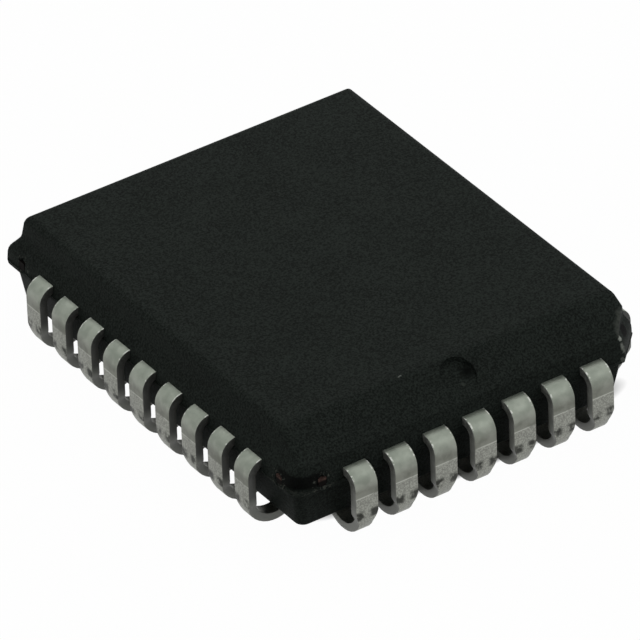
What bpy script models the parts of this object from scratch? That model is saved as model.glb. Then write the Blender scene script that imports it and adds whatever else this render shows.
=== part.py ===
"""A 32-lead plastic leaded chip carrier: its moulded block, its J leads and what the block holds inside.

Lengths are in metres, so 1.27e-3 reads as 1.27 mm, and angles are in degrees. The origin is on the board,
under the middle of the block. +Z is up and the pin-1 end is at +Y.
"""

from math import cos, radians, sin, sqrt, tan

import bmesh
import bpy
from mathutils import Matrix, Vector

# The rows of leads, and how far the block goes on past the last lead of a row
LEAD_PITCH = 1.27e-3
LONG_SIDE_LEADS = 9
SHORT_SIDE_LEADS = 7
LONG_SIDE_MARGIN = 1.935e-3
SHORT_SIDE_MARGIN = 1.94e-3

# Where the two halves of the mould meet, above the board
PARTING_HEIGHT = 1.88e-3

# The lower half of the block: a drafted wall under a rim
LOWER_DRAFT = 7.5
LOWER_WALL_INSET = 0.21e-3
LOWER_WALL_DROP = 0.28e-3
RIM_THICKNESS = 0.12e-3
BASE_SOFTENING = 0.10e-3
RIM_CORNER_RADIUS = 0.15e-3
RIM_GATE_CORNER_RADIUS = 0.35e-3

# The upper half: a band that the leads leave by, a ledge that leans in over it, and the drafted cap on top
RIM_STEP = 0.02e-3
BAND_HEIGHT = 0.26e-3
BAND_DRAFT = 3.0
BAND_SOFTENING = 0.06e-3
LEDGE_RISE = 0.44e-3
CAP_HEIGHT = 0.75e-3
CAP_SIDE_INSET = 0.405e-3
CAP_SOUTH_INSET = 0.485e-3
CAP_NORTH_INSET = 1.215e-3
CAP_DRAFT = 9.0
NORTH_SLOPE = 35.0
TOP_EDGE_RADIUS = 0.27e-3
BAND_CORNER_RADIUS = 0.14e-3
GATE_CORNER_RADIUS = 0.65e-3
CAP_CORNER_RADIUS = 0.15e-3
CAP_GATE_CORNER_RADIUS = 0.12e-3

# The bevelled corner and the dimple that mark pin 1
PIN_1_BEVEL = 1.14e-3
LEAST_BEVEL = 0.16e-3
BEVEL_SOFTENING = 0.05e-3
DIMPLE_RADIUS = 0.58e-3
DIMPLE_SETBACK = 0.595e-3
DIMPLE_FLOOR_DROP = 0.54e-3

# The round marks that the mould's ejector pins leave underneath
EJECTOR_RADIUS = 0.75e-3
EJECTOR_DEPTH = 0.05e-3
EJECTOR_SPACING = 7.60e-3

# The strip that the leads and the paddle are stamped from
STRIP_THICKNESS = 0.25e-3

# A lead outside the block: shoulder, leg and the J under it
LONG_SIDE_REACH = 0.465e-3
SHORT_SIDE_REACH = 0.52e-3
SHOULDER_WIDTH = 0.71e-3
FOOT_WIDTH = 0.36e-3
SHOULDER_RADIUS = 0.50e-3
SHOULDER_END_HEIGHT = 0.93e-3
FOOT_TAPER = 0.38e-3
J_RADIUS = 0.88e-3
J_FACETS = 5
J_TIP_ANGLE = 45.0
J_CLEARANCE = 0.05e-3
SHOULDER_FACETS = 4

# A lead inside the block: a finger that narrows towards the die
FINGER_ROOT_DEPTH = 0.80e-3
FINGER_BEND_DEPTH = 1.10e-3
FINGER_BEND_WIDTH = 0.48e-3
FINGER_TIP_WIDTH = 0.26e-3
FINGER_TIP_PITCH = 0.62e-3
FINGER_GAP = 0.35e-3

# The paddle, its tie bars and their cut ends
PADDLE_WIDTH = 5.00e-3
PADDLE_LENGTH = 6.40e-3
TIE_BAR_WIDTH = 0.25e-3
TIE_END_SETBACK_X = 0.90e-3
TIE_END_SETBACK_Y = 0.815e-3
TIE_END_RECESS = 0.02e-3
TRIM_POCKET_MARGIN = 0.09e-3
TRIM_POCKET_DEPTH = 0.14e-3

# The die, the adhesive under it and the wires bonded to it
DIE_WIDTH = 3.60e-3
DIE_LENGTH = 5.00e-3
DIE_THICKNESS = 0.30e-3
ATTACH_THICKNESS = 0.04e-3
ATTACH_FILLET = 0.10e-3
WIRE_DIAMETER = 0.033e-3
BOND_BALL_DIAMETER = 0.080e-3
BOND_BALL_HEIGHT = 0.025e-3
WIRE_LOOP_HEIGHT = 0.18e-3
WIRE_STITCH_REACH = 0.16e-3
WIRE_STITCH_DEPTH = 0.012e-3
PAD_INSET = 0.14e-3
LONG_SIDE_PAD_PITCH = 0.50e-3
SHORT_SIDE_PAD_PITCH = 0.44e-3

# The gap left between two pieces that touch
FIT = 0.010e-3

BODY_WIDTH = (SHORT_SIDE_LEADS - 1) * LEAD_PITCH + 2 * SHORT_SIDE_MARGIN
BODY_LENGTH = (LONG_SIDE_LEADS - 1) * LEAD_PITCH + 2 * LONG_SIDE_MARGIN
BAND_TOP = PARTING_HEIGHT + BAND_HEIGHT
CAP_FOOT = BAND_TOP + LEDGE_RISE
TOP_HEIGHT = CAP_FOOT + CAP_HEIGHT
J_STEP = 90 / J_FACETS
J_INNER_CORNER = (J_RADIUS - STRIP_THICKNESS) / cos(radians(J_STEP / 2))
BASE_HEIGHT = J_RADIUS - J_INNER_CORNER * cos(radians(J_TIP_ANGLE)) + J_CLEARANCE
STRIP_MIDDLE = PARTING_HEIGHT + STRIP_THICKNESS / 2
STRIP_TOP = PARTING_HEIGHT + STRIP_THICKNESS
DIE_BASE = STRIP_TOP + ATTACH_THICKNESS + 2 * FIT
DIE_TOP = DIE_BASE + DIE_THICKNESS


def clear_scene():
    for thing in list(bpy.data.objects):
        bpy.data.objects.remove(thing)


def make_collection(name):
    group = bpy.data.collections.new(name)
    bpy.context.scene.collection.children.link(group)
    return group


def make_material(name, colour, roughness, metallic):
    material = bpy.data.materials.new(name)
    material.use_nodes = True
    shader = material.node_tree.nodes["Principled BSDF"]
    shader.inputs["Base Color"].default_value = (*colour, 1)
    shader.inputs["Roughness"].default_value = roughness
    shader.inputs["Metallic"].default_value = metallic
    return material


def add_object(name, mesh, collection, material=None):
    """Links a mesh as a new object."""
    thing = bpy.data.objects.new(name, mesh)
    collection.objects.link(thing)
    if material:
        mesh.materials.append(material)
    return thing


def add_cutter(name, mesh, collection):
    cutter = add_object(name, mesh, collection)
    cutter.hide_render = True
    cutter.display_type = "WIRE"
    return cutter


def mesh_from(shape, name):
    """Turns a bmesh into a mesh with its faces pointing out."""
    bmesh.ops.recalc_face_normals(shape, faces=shape.faces)
    mesh = bpy.data.meshes.new(name)
    shape.to_mesh(mesh)
    shape.free()
    return mesh


def mesh_from_curve(curve, name):
    """Evaluates a curve once and keeps its mesh, with its caps welded on."""
    guide = bpy.data.objects.new(name + "_guide", curve)
    bpy.context.scene.collection.objects.link(guide)
    evaluated = guide.evaluated_get(bpy.context.evaluated_depsgraph_get())
    mesh = bpy.data.meshes.new_from_object(evaluated)
    mesh.name = name
    bpy.data.objects.remove(guide)
    shape = bmesh.new()
    shape.from_mesh(mesh)
    bmesh.ops.remove_doubles(shape, verts=shape.verts, dist=1e-7)
    bmesh.ops.recalc_face_normals(shape, faces=shape.faces)
    shape.to_mesh(mesh)
    shape.free()
    return mesh


def offset_outline(points, distance):
    """Moves every side of a counterclockwise outline out by a distance."""
    moved = []
    for index, point in enumerate(points):
        before = (point - points[index - 1]).normalized()
        after = (points[(index + 1) % len(points)] - point).normalized()
        out_before = Vector((before.y, -before.x))
        out_after = Vector((after.y, -after.x))
        bisector = (out_before + out_after).normalized()
        moved.append(point + bisector * (distance / bisector.dot(out_after)))
    return moved


def plate_mesh(name, outline, low, high):
    """A flat plate of the outline's shape between two heights."""
    curve = bpy.data.curves.new(name, "CURVE")
    curve.dimensions = "2D"
    curve.fill_mode = "BOTH"
    curve.extrude = (high - low) / 2
    spline = curve.splines.new("POLY")
    spline.points.add(len(outline) - 1)
    for point, place in zip(spline.points, outline):
        point.co = (place.x, place.y, 0, 1)
    spline.use_cyclic_u = True
    mesh = mesh_from_curve(curve, name)
    mesh.transform(Matrix.Translation((0, 0, (low + high) / 2)))
    return mesh


def block_mesh(name, low, high):
    """A box between two corners."""
    shape = bmesh.new()
    size = Vector(high) - Vector(low)
    middle = (Vector(high) + Vector(low)) / 2
    matrix = Matrix.Translation(middle) @ Matrix.Diagonal((*size, 1))
    bmesh.ops.create_cube(shape, size=1, matrix=matrix)
    return mesh_from(shape, name)


def disc_mesh(name, centre, radius, low, high, sides):
    """An upright cylinder between two heights."""
    shape = bmesh.new()
    matrix = Matrix.Translation((centre[0], centre[1], (low + high) / 2))
    bmesh.ops.create_cone(
        shape, cap_ends=True, segments=sides, radius1=radius, radius2=radius, depth=high - low, matrix=matrix
    )
    return mesh_from(shape, name)


def loft_mesh(name, rings):
    """A closed skin over a stack of rings, each with the same number of points."""
    shape = bmesh.new()
    rows = [[shape.verts.new(point) for point in ring] for ring in rings]
    for lower, upper in zip(rows, rows[1:]):
        for index in range(len(lower)):
            following = (index + 1) % len(lower)
            shape.faces.new((lower[index], lower[following], upper[following], upper[index]))
    shape.faces.new(rows[0])
    shape.faces.new(rows[-1])
    return mesh_from(shape, name)


# The block's outline at one level is four corners of four points each


def round_corner(east, north, radius):
    """The corner's points, from its east side round to its north side."""
    return [
        Vector((east - radius + radius * cos(radians(turn)), north - radius + radius * sin(radians(turn))))
        for turn in (0, 30, 60, 90)
    ]


def bevelled_corner(east, north, bevel):
    """A flat bevel with its two ends softened."""
    soft = min(BEVEL_SOFTENING, bevel / 4)
    start = Vector((east, north - bevel))
    end = Vector((east - bevel, north))
    along = (end - start).normalized() * soft
    return [start - Vector((0, soft)), start + along, end - along, end - Vector((soft, 0))]


def body_ring(height, east, north, south, radius, gate_radius, bevel):
    """One level of the block, counterclockwise from the gate corner at +X +Y."""
    gate = round_corner(east, north, gate_radius)
    pin_1 = [Vector((-p.x, p.y)) for p in reversed(bevelled_corner(east, north, bevel))]
    far = [Vector((-p.x, -p.y)) for p in round_corner(east, south, radius)]
    last = [Vector((p.x, -p.y)) for p in reversed(round_corner(east, south, radius))]
    return [Vector((p.x, p.y, height)) for p in gate + pin_1 + far + last]


def lower_ring(height, inset):
    """A level of the lower half, which is the rim's outline moved in."""
    east = BODY_WIDTH / 2 - inset
    north = BODY_LENGTH / 2 - inset
    return body_ring(height, east, north, north, RIM_CORNER_RADIUS, RIM_GATE_CORNER_RADIUS, PIN_1_BEVEL)


def upper_bevel(east, north):
    """The pin-1 bevel is one upright plane, so it grows where the pin-1 slope reaches further out."""
    plane = BODY_WIDTH / 2 + BODY_LENGTH / 2 - PIN_1_BEVEL - RIM_STEP * sqrt(2)
    return max(LEAST_BEVEL, east + north - plane)


def slope_reach(height):
    """How far north the pin-1 slope lies at a height."""
    return BODY_LENGTH / 2 - CAP_NORTH_INSET + (TOP_HEIGHT - height) / tan(radians(NORTH_SLOPE))


def band_ring(height):
    """A level of the band."""
    inset = RIM_STEP + (height - PARTING_HEIGHT) * tan(radians(BAND_DRAFT))
    east = BODY_WIDTH / 2 - inset
    north = BODY_LENGTH / 2 - inset
    return body_ring(
        height, east, north, north, BAND_CORNER_RADIUS, GATE_CORNER_RADIUS, upper_bevel(east, north)
    )


def ledge_ring(rise):
    """A level of the ledge, this far above the band, between the band's top and the cap's foot."""
    share = rise / LEDGE_RISE
    return [low.lerp(high, share) for low, high in zip(band_ring(BAND_TOP), cap_ring(CAP_FOOT, 0))]


def cap_ring(height, turn):
    """A level of the cap. The turn runs from 0 on the wall to 90 on the top, round its soft edge."""
    out = (TOP_HEIGHT - height) * tan(radians(CAP_DRAFT))
    inset = TOP_EDGE_RADIUS * (1 - cos(radians(turn)))
    east = BODY_WIDTH / 2 - CAP_SIDE_INSET + out - inset
    south = BODY_LENGTH / 2 - CAP_SOUTH_INSET + out - inset
    north = slope_reach(height) - inset * (1 - cos(radians(turn))) / 2
    return body_ring(
        height, east, north, south, CAP_CORNER_RADIUS, CAP_GATE_CORNER_RADIUS, upper_bevel(east, north)
    )


def body_rings():
    wall_top = PARTING_HEIGHT - LOWER_WALL_DROP
    lower_slope = tan(radians(LOWER_DRAFT))
    base_inset = LOWER_WALL_INSET + (wall_top - BASE_HEIGHT) * lower_slope
    soft_inset = base_inset - BASE_SOFTENING * lower_slope
    rings = [
        lower_ring(BASE_HEIGHT, base_inset + BASE_SOFTENING),
        lower_ring(BASE_HEIGHT + BASE_SOFTENING, soft_inset),
        lower_ring(wall_top, LOWER_WALL_INSET),
        lower_ring(PARTING_HEIGHT - RIM_THICKNESS, RIM_THICKNESS * lower_slope),
        lower_ring(PARTING_HEIGHT, 0),
        band_ring(PARTING_HEIGHT),
        band_ring(BAND_TOP - BAND_SOFTENING),
        ledge_ring(BAND_SOFTENING),
        cap_ring(CAP_FOOT, 0),
    ]
    for turn in (0, 30, 60, 90):
        rings.append(cap_ring(TOP_HEIGHT - TOP_EDGE_RADIUS * (1 - sin(radians(turn))), turn))
    return rings


# Each side of the chip is worked in its own frame: x points out of the block, y along the side


class Side:
    def __init__(self, turn, leads, body_reach, lead_reach, paddle_reach, die_reach, pad_pitch):
        self.turn = turn
        self.leads = leads
        self.body_reach = body_reach
        self.span_reach = body_reach + lead_reach
        self.paddle_reach = paddle_reach
        self.die_reach = die_reach
        self.pad_pitch = pad_pitch

    def steps(self):
        """Each lead's place along the side, in pitches from its middle."""
        return [index - (self.leads - 1) / 2 for index in range(self.leads)]

    def place(self, thing):
        thing.rotation_euler.z = radians(self.turn)
        return thing


def long_side(turn):
    """A row of leads that runs along Y."""
    return Side(
        turn,
        LONG_SIDE_LEADS,
        BODY_WIDTH / 2,
        LONG_SIDE_REACH,
        PADDLE_WIDTH / 2,
        DIE_WIDTH / 2,
        LONG_SIDE_PAD_PITCH,
    )


def short_side(turn):
    """A row of leads that runs along X."""
    return Side(
        turn,
        SHORT_SIDE_LEADS,
        BODY_LENGTH / 2,
        SHORT_SIDE_REACH,
        PADDLE_LENGTH / 2,
        DIE_LENGTH / 2,
        SHORT_SIDE_PAD_PITCH,
    )


def arc_of_facets(centre_x, centre_z, radius, first_turn, last_turn, step):
    """Corners of the facets that wrap an arc from outside, so that each facet touches it."""
    turns = []
    while first_turn - step * (len(turns) + 0.5) > last_turn:
        turns.append(first_turn - step * (len(turns) + 0.5))
    turns.append(last_turn)
    places = []
    for turn in turns:
        off_centre = (first_turn - turn + step / 2) % step - step / 2
        reach = radius / cos(radians(off_centre))
        places.append((centre_x + reach * cos(radians(turn)), centre_z + reach * sin(radians(turn))))
    return places


def lead_width(height):
    """The lead is wide down to the end of its leg and narrows to the foot in the first part of the J."""
    share = min(1, max(0, (SHOULDER_END_HEIGHT - height) / FOOT_TAPER))
    return SHOULDER_WIDTH + (FOOT_WIDTH - SHOULDER_WIDTH) * share


def lead_stations(side, step, grow):
    """The lead's middle line as (x, z, y, width), from its inner tip to the end of the J."""
    along = step * LEAD_PITCH
    tip_along = step * FINGER_TIP_PITCH
    tip_x = side.paddle_reach + FINGER_GAP - grow
    root_x = side.body_reach - FINGER_ROOT_DEPTH
    bend_x = side.body_reach - FINGER_BEND_DEPTH
    half = STRIP_THICKNESS / 2
    shoulder = arc_of_facets(
        side.span_reach - SHOULDER_RADIUS,
        STRIP_TOP - SHOULDER_RADIUS,
        SHOULDER_RADIUS - half,
        90,
        0,
        90 / SHOULDER_FACETS,
    )[:-1]
    hook_x = side.span_reach - J_RADIUS
    hook = arc_of_facets(hook_x, J_RADIUS, J_RADIUS - half, 0, -90 - J_TIP_ANGLE, J_STEP)
    leg_x = side.span_reach - half
    stations = [
        (tip_x, STRIP_MIDDLE, tip_along, FINGER_TIP_WIDTH),
        (bend_x, STRIP_MIDDLE, along, FINGER_BEND_WIDTH),
        (root_x, STRIP_MIDDLE, along, SHOULDER_WIDTH),
    ]
    stations += [(x, z, along, SHOULDER_WIDTH) for x, z in shoulder]
    stations.append((leg_x, SHOULDER_END_HEIGHT, along, SHOULDER_WIDTH))
    stations += [(x, z, along, lead_width(z)) for x, z in hook if z < SHOULDER_END_HEIGHT]
    return stations


def strip_mesh(name, stations, grow):
    """An open ribbon along the stations, to be given its thickness later."""
    shape = bmesh.new()
    rows = []
    for x, z, y, width in stations:
        half = width / 2 + grow
        rows.append((shape.verts.new((x, y - half, z)), shape.verts.new((x, y + half, z))))
    for (low, high), (next_low, next_high) in zip(rows, rows[1:]):
        shape.faces.new((low, next_low, next_high, high))
    return mesh_from(shape, name)


def thicken(thing, thickness):
    solidify = thing.modifiers.new("strip_thickness", "SOLIDIFY")
    solidify.thickness = thickness
    solidify.offset = 0
    solidify.use_even_offset = True


def wire_mesh(name, side, step, grow):
    """A bond wire from its ball on the die to its stitch in the finger's tip."""
    pad = Vector((side.die_reach - PAD_INSET, step * side.pad_pitch, DIE_TOP + FIT - grow))
    tip_x = side.paddle_reach + FINGER_GAP
    bend_x = side.body_reach - FINGER_BEND_DEPTH
    stitch_x = tip_x + WIRE_STITCH_REACH
    share = WIRE_STITCH_REACH / (bend_x - tip_x)
    stitch_y = step * (FINGER_TIP_PITCH + share * (LEAD_PITCH - FINGER_TIP_PITCH))
    stitch = Vector((stitch_x, stitch_y, STRIP_TOP - WIRE_STITCH_DEPTH))
    across = stitch - pad
    ball_top = pad + Vector((0, 0, BOND_BALL_HEIGHT + grow))
    crest = DIE_TOP + WIRE_LOOP_HEIGHT
    rise = pad + across * 0.06
    rise.z = crest - WIRE_LOOP_HEIGHT * 0.15
    top = pad + across * 0.30
    top.z = crest
    fall = pad + across * 0.72
    fall.z = stitch.z + (crest - stitch.z) * 0.55
    ball = BOND_BALL_DIAMETER / WIRE_DIAMETER
    neck = ball_top + (rise - ball_top) * 0.1
    route = [(pad, ball), (ball_top, ball), (neck, 1), (rise, 1), (top, 1), (fall, 1), (stitch, 1)]
    curve = bpy.data.curves.new(name, "CURVE")
    curve.dimensions = "3D"
    curve.bevel_depth = WIRE_DIAMETER / 2 + grow
    curve.bevel_resolution = 0
    curve.use_fill_caps = True
    spline = curve.splines.new("POLY")
    spline.points.add(len(route) - 1)
    for point, (place, radius) in zip(spline.points, route):
        point.co = (*place, 1)
        point.radius = radius
    return mesh_from_curve(curve, name)


def build_lead(number, side, step, parts, cutters, metal):
    """The lead with its wire fused on, and the same two shapes grown by the fit, to cut the block."""
    name = f"lead_{number:02d}"
    lead = add_object(name, strip_mesh(name, lead_stations(side, step, 0), 0), parts, metal)
    thicken(lead, STRIP_THICKNESS)
    wire = add_cutter(f"wire_{number:02d}", wire_mesh(f"wire_{number:02d}", side, step, 0), parts)
    bond = lead.modifiers.new("bond_wire", "BOOLEAN")
    bond.operation = "UNION"
    bond.solver = "EXACT"
    bond.object = wire
    room = add_cutter(f"room_for_{name}", strip_mesh("room", lead_stations(side, step, FIT), FIT), cutters)
    thicken(room, STRIP_THICKNESS + 2 * FIT)
    wire_room = add_cutter(f"room_for_wire_{number:02d}", wire_mesh("wire_room", side, step, FIT), cutters)
    for thing in (lead, wire, room, wire_room):
        side.place(thing)
    return lead


def numbered_leads():
    """Every lead as (number, side, step), counterclockwise from pin 1 in the middle of the north side."""
    round_the_chip = []
    for side in (short_side(90), long_side(180), short_side(270), long_side(0)):
        round_the_chip += [(side, step) for step in side.steps()]
    first = SHORT_SIDE_LEADS // 2
    ordered = round_the_chip[first:] + round_the_chip[:first]
    return [(index + 1, side, step) for index, (side, step) in enumerate(ordered)]


# The paddle's outline is one corner's tie bar, turned for each corner


def forked_tie_bar(reach):
    """From the paddle's corner at +X +Y out to one cut end on each of the two sides."""
    fork_x = BODY_WIDTH / 2 - TIE_END_SETBACK_X
    fork_y = BODY_LENGTH / 2 - TIE_END_SETBACK_Y
    half = TIE_BAR_WIDTH / 2
    end_x = BODY_WIDTH / 2 + reach
    end_y = BODY_LENGTH / 2 + reach
    return [
        Vector((PADDLE_WIDTH / 2, PADDLE_LENGTH / 2 - TIE_BAR_WIDTH)),
        Vector((fork_x, fork_y - half)),
        Vector((end_x, fork_y - half)),
        Vector((end_x, fork_y + half)),
        Vector((fork_x + half, fork_y + half)),
        Vector((fork_x + half, end_y)),
        Vector((fork_x - half, end_y)),
        Vector((fork_x - half, fork_y)),
        Vector((PADDLE_WIDTH / 2 - TIE_BAR_WIDTH, PADDLE_LENGTH / 2)),
    ]


def single_tie_bar(reach):
    """Out to the middle of the pin-1 bevel, seen as if it were at +X +Y."""
    half = TIE_BAR_WIDTH / 2 / sqrt(2)
    push = reach / sqrt(2)
    end = Vector((BODY_WIDTH / 2 - PIN_1_BEVEL / 2 + push, BODY_LENGTH / 2 - PIN_1_BEVEL / 2 + push))
    return [
        Vector((PADDLE_WIDTH / 2, PADDLE_LENGTH / 2 - TIE_BAR_WIDTH)),
        end + Vector((half, -half)),
        end + Vector((-half, half)),
        Vector((PADDLE_WIDTH / 2 - TIE_BAR_WIDTH, PADDLE_LENGTH / 2)),
    ]


def paddle_outline(reach):
    """Counterclockwise, with the tie bars ending this far out past the block's outline."""
    outline = forked_tie_bar(reach)
    outline += [Vector((-p.x, p.y)) for p in reversed(single_tie_bar(reach))]
    outline += [Vector((-p.x, -p.y)) for p in forked_tie_bar(reach)]
    outline += [Vector((p.x, -p.y)) for p in reversed(forked_tie_bar(reach))]
    return outline


def trim_pocket_meshes():
    """Boxes round the cut ends of the tie bars, where the trim tool broke the compound away."""
    half = TIE_BAR_WIDTH / 2 + TRIM_POCKET_MARGIN
    low = PARTING_HEIGHT - TRIM_POCKET_MARGIN
    high = STRIP_TOP + TRIM_POCKET_MARGIN
    face_x = BODY_WIDTH / 2 - RIM_STEP
    face_y = BODY_LENGTH / 2 - RIM_STEP
    fork_x = BODY_WIDTH / 2 - TIE_END_SETBACK_X
    fork_y = BODY_LENGTH / 2 - TIE_END_SETBACK_Y
    past = 2 * RIM_STEP
    meshes = []
    for toward_x, toward_y in ((1, 1), (1, -1), (-1, -1)):
        for corner, size in (
            ((face_x - TRIM_POCKET_DEPTH, fork_y - half), (TRIM_POCKET_DEPTH + past, 2 * half)),
            ((fork_x - half, face_y - TRIM_POCKET_DEPTH), (2 * half, TRIM_POCKET_DEPTH + past)),
        ):
            xs = sorted((toward_x * corner[0], toward_x * (corner[0] + size[0])))
            ys = sorted((toward_y * corner[1], toward_y * (corner[1] + size[1])))
            meshes.append(block_mesh("trim_pocket", (xs[0], ys[0], low), (xs[1], ys[1], high)))
    return meshes


def rectangle(width, length):
    return [Vector((sx * width / 2, sy * length / 2)) for sx, sy in ((1, -1), (1, 1), (-1, 1), (-1, -1))]


def build_die_stack(parts, cutters, copper, adhesive, silicon):
    """The paddle, the adhesive and the die, and the same shapes grown by the fit, to cut the block."""
    stack = (
        ("die_paddle", paddle_outline(-RIM_STEP - TIE_END_RECESS), PARTING_HEIGHT, STRIP_TOP, copper),
        (
            "die_attach",
            rectangle(DIE_WIDTH + 2 * ATTACH_FILLET, DIE_LENGTH + 2 * ATTACH_FILLET),
            STRIP_TOP + FIT,
            DIE_BASE - FIT,
            adhesive,
        ),
        ("silicon_die", rectangle(DIE_WIDTH, DIE_LENGTH), DIE_BASE, DIE_TOP, silicon),
    )
    for name, outline, low, high, material in stack:
        add_object(name, plate_mesh(name, outline, low, high), parts, material)
        around = paddle_outline(TRIM_POCKET_DEPTH) if name == "die_paddle" else outline
        room = plate_mesh("room", offset_outline(around, FIT), low - FIT, high + FIT)
        add_cutter(f"room_for_{name}", room, cutters)


def build_body(parts, cutters, compound):
    body = add_object("moulded_body", loft_mesh("moulded_body", body_rings()), parts, compound)
    for index, mesh in enumerate(trim_pocket_meshes()):
        add_cutter(f"trim_pocket_{index + 1}", mesh, cutters)
    dimple_y = BODY_LENGTH / 2 - DIMPLE_SETBACK
    dimple_floor = TOP_HEIGHT - DIMPLE_FLOOR_DROP
    dimple_top = TOP_HEIGHT + DIMPLE_FLOOR_DROP
    dimple = disc_mesh("dimple", (0, dimple_y), DIMPLE_RADIUS, dimple_floor, dimple_top, 24)
    add_cutter("pin_1_dimple", dimple, cutters)
    for end in (-1, 1):
        mark = disc_mesh(
            "ejector_mark",
            (0, end * EJECTOR_SPACING / 2),
            EJECTOR_RADIUS,
            BASE_HEIGHT - EJECTOR_DEPTH,
            BASE_HEIGHT + EJECTOR_DEPTH,
            20,
        )
        add_cutter(f"ejector_mark_{'south' if end < 0 else 'north'}", mark, cutters)
    moulding = body.modifiers.new("moulded_round_the_frame", "BOOLEAN")
    moulding.operation = "DIFFERENCE"
    moulding.solver = "EXACT"
    moulding.operand_type = "COLLECTION"
    moulding.collection = cutters
    return body


def main():
    clear_scene()
    parts = make_collection("plcc_chip")
    cutters = make_collection("plcc_chip_cutters")
    compound = make_material("mould_compound", (0.017, 0.018, 0.017), 0.62, 0)
    metal = make_material("tinned_copper", (0.55, 0.55, 0.52), 0.42, 1)
    copper = make_material("bare_copper", (0.62, 0.31, 0.20), 0.40, 1)
    adhesive = make_material("silver_adhesive", (0.50, 0.50, 0.48), 0.70, 0)
    silicon = make_material("silicon", (0.12, 0.13, 0.16), 0.18, 0)
    build_die_stack(parts, cutters, copper, adhesive, silicon)
    for number, side, step in numbered_leads():
        build_lead(number, side, step, parts, cutters, metal)
    build_body(parts, cutters, compound)


main()
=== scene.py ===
"""The look of a 32-lead plastic leaded chip carrier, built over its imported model.

Pieces are modelled in millimetres and brought down to metres when they are finished.
East is +X, with nine leads, and north is +Y, the end with the pin-1 dimple.
"""

from collections import namedtuple
from math import cos, pi, radians, sin, tan

import bpy
from mathutils import Matrix, Vector


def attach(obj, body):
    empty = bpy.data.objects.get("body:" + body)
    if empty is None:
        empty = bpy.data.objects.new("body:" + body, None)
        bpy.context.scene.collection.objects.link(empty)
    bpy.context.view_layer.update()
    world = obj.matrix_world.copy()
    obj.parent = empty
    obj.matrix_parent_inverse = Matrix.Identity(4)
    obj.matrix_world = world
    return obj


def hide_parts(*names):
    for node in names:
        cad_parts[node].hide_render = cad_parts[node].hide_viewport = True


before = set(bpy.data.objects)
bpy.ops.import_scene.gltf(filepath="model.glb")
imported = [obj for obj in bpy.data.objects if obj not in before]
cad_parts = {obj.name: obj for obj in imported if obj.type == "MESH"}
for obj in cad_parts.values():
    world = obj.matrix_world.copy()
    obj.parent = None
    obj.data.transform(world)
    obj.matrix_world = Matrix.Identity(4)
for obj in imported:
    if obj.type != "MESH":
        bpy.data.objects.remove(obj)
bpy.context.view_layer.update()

# The camera stands where the photograph was taken from: a long lens, about 27 cm away, looking down at
# the near corner between the nine-lead side and the pin-1 end.

CAMERA_AZIMUTH = 146.926
CAMERA_ELEVATION = 34.631
CAMERA_ROLL = -2.219
CAMERA_DISTANCE = 0.26896
FOCAL_LENGTH = 562.7
SENSOR_WIDTH = 36
NEAREST_SEEN = 0.01
FARTHEST_SEEN = 10
AIM_HEIGHT = 0.0017
AIM_SHIFT_RIGHT = -0.000148
AIM_SHIFT_UP = -0.000337

turn, rise, roll = radians(CAMERA_AZIMUTH), radians(CAMERA_ELEVATION), radians(CAMERA_ROLL)
back = Vector((sin(turn) * cos(rise), -cos(turn) * cos(rise), sin(rise)))
sideways = Vector((cos(turn), sin(turn), 0))
upward = back.cross(sideways)
right = sideways * cos(roll) + upward * sin(roll)
up = -sideways * sin(roll) + upward * cos(roll)
aim = Vector((0, 0, AIM_HEIGHT)) + right * AIM_SHIFT_RIGHT + up * AIM_SHIFT_UP
stand = aim + back * CAMERA_DISTANCE
bpy.ops.object.camera_add()
camera = bpy.context.object
camera.data.lens = FOCAL_LENGTH
camera.data.sensor_width = SENSOR_WIDTH
camera.data.clip_start = NEAREST_SEEN
camera.data.clip_end = FARTHEST_SEEN
camera.matrix_world = Matrix(
    (
        (right.x, up.x, back.x, stand.x),
        (right.y, up.y, back.y, stand.y),
        (right.z, up.z, back.z, stand.z),
        (0, 0, 0, 1),
    )
)
bpy.context.scene.camera = camera
bpy.context.scene.view_settings.view_transform = "Standard"

# The sheet the chip lies on is matt white paper. To the eye and to the metal it is plain white, with the
# chip's own soft shadow left in it. The shade is at its deepest under the north edge, in an ellipse.

FLOOR_SIZE = 0.6
PAPER = "#70706E"
PAPER_GLOW = 1.09
SHADOW_SHARE = 0.10
DEEP_SHADE_CENTRE = (-0.0005, 0.0056, 0)
DEEP_SHADE_HALF_SIZE = (0.0049, 0.0010, 1)
DEEP_SHADE_FULL, DEEP_SHADE_END = 0.9, 1.1


def linear(hex_colour):
    """An sRGB hex colour as linear RGBA."""
    values = [int(hex_colour[i : i + 2], 16) / 255 for i in (1, 3, 5)]
    return tuple(v / 12.92 if v <= 0.04045 else ((v + 0.055) / 1.055) ** 2.4 for v in values) + (1,)


def new_material(name):
    material = bpy.data.materials.new(name)
    material.use_nodes = True
    material.node_tree.nodes.clear()
    return material


def node(material, kind, settings=None, **links):
    """Adds a node. Settings are its own properties, and links are its inputs: a value, another node's socket,
    or a node, which stands for the first of its outputs that is in use."""
    added = material.node_tree.nodes.new(kind)
    for key, value in (settings or {}).items():
        setattr(added, key, value)
    for key, value in links.items():
        socket = added.inputs[int(key[1:])] if key[1:].isdigit() else added.inputs[key.replace("_", " ")]
        if isinstance(value, bpy.types.Node):
            value = next(output for output in value.outputs if output.enabled)
        if isinstance(value, bpy.types.NodeSocket):
            material.node_tree.links.new(value, socket)
        else:
            socket.default_value = value
    return added


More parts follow.
